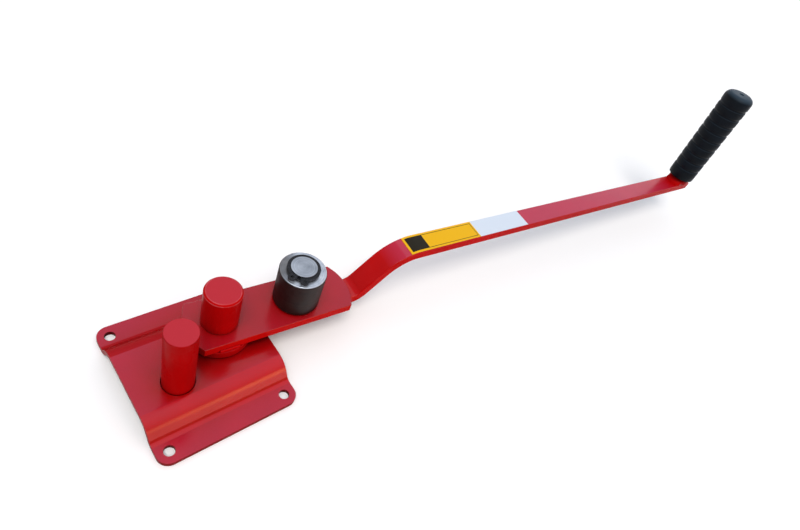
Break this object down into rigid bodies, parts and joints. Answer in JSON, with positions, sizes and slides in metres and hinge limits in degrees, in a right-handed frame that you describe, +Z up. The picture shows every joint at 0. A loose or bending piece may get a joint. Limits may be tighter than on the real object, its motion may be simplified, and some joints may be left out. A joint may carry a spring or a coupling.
{
  "type": "rebar stirrup bender",
  "caption": "bench bender for thin reinforcing bar: a folded base with a stop post and a pivot post, and a long cranked lever that swings a free-turning roller round the pivot",
  "frame": {"origin": "centre of the four bench holes, on the underside of the flanges", "axes": "+X along the base's folds and, in the stored pose, along the lever towards the grip; +Y across the folds; +Z up, away from the bench"},
  "size_m": [0.6492, 0.109, 0.1641],
  "materials": {
    "red_paint": "gloss red enamel on steel",
    "bare_steel": "turned steel",
    "roller_steel": "turned steel with an oily dark film",
    "bronze": "plain bearing bronze",
    "spring_steel": "black oxide spring steel",
    "grip_rubber": "satin black moulded rubber",
    "yellow_label": "blank yellow film",
    "white_label": "blank white film"
  },
  "bodies": {
    "base": {"base_plate": "red_paint", "stop_pin": "red_paint", "stop_pin_weld": "red_paint", "centre_pin": "red_paint", "centre_pin_weld": "red_paint", "thrust_washer": "bronze"},
    "lever": {"lever_plate": "red_paint", "pivot_boss": "red_paint", "pivot_boss_weld": "red_paint", "pivot_bush": "bronze", "arm": "red_paint", "arm_weld": "red_paint", "roller_axle": "bare_steel", "roller_axle_weld": "red_paint", "roller_washer": "bare_steel", "clip_washer": "spring_steel", "roller_circlip": "spring_steel", "handle_disc": "red_paint", "handle_rod": "red_paint", "handle_weld": "red_paint", "grip": "grip_rubber", "front_label": "yellow_label", "rear_label": "white_label"},
    "roller": {"roller": "roller_steel", "roller_bush": "bare_steel"}
  },
  "joints": [
    {"name": "lever_pivot", "type": "hinge", "parent": "base", "child": "lever", "pos_m": [0.01945, 0.01255, 0.02285], "axis": [0, 0, 1], "range_deg": [-100, 172]},
    {"name": "roller_spin", "type": "hinge", "parent": "lever", "child": "roller", "pos_m": [0.07651, 0.00731, 0.0465], "axis": [0, 0, 1], "continuous": true}
  ]
}
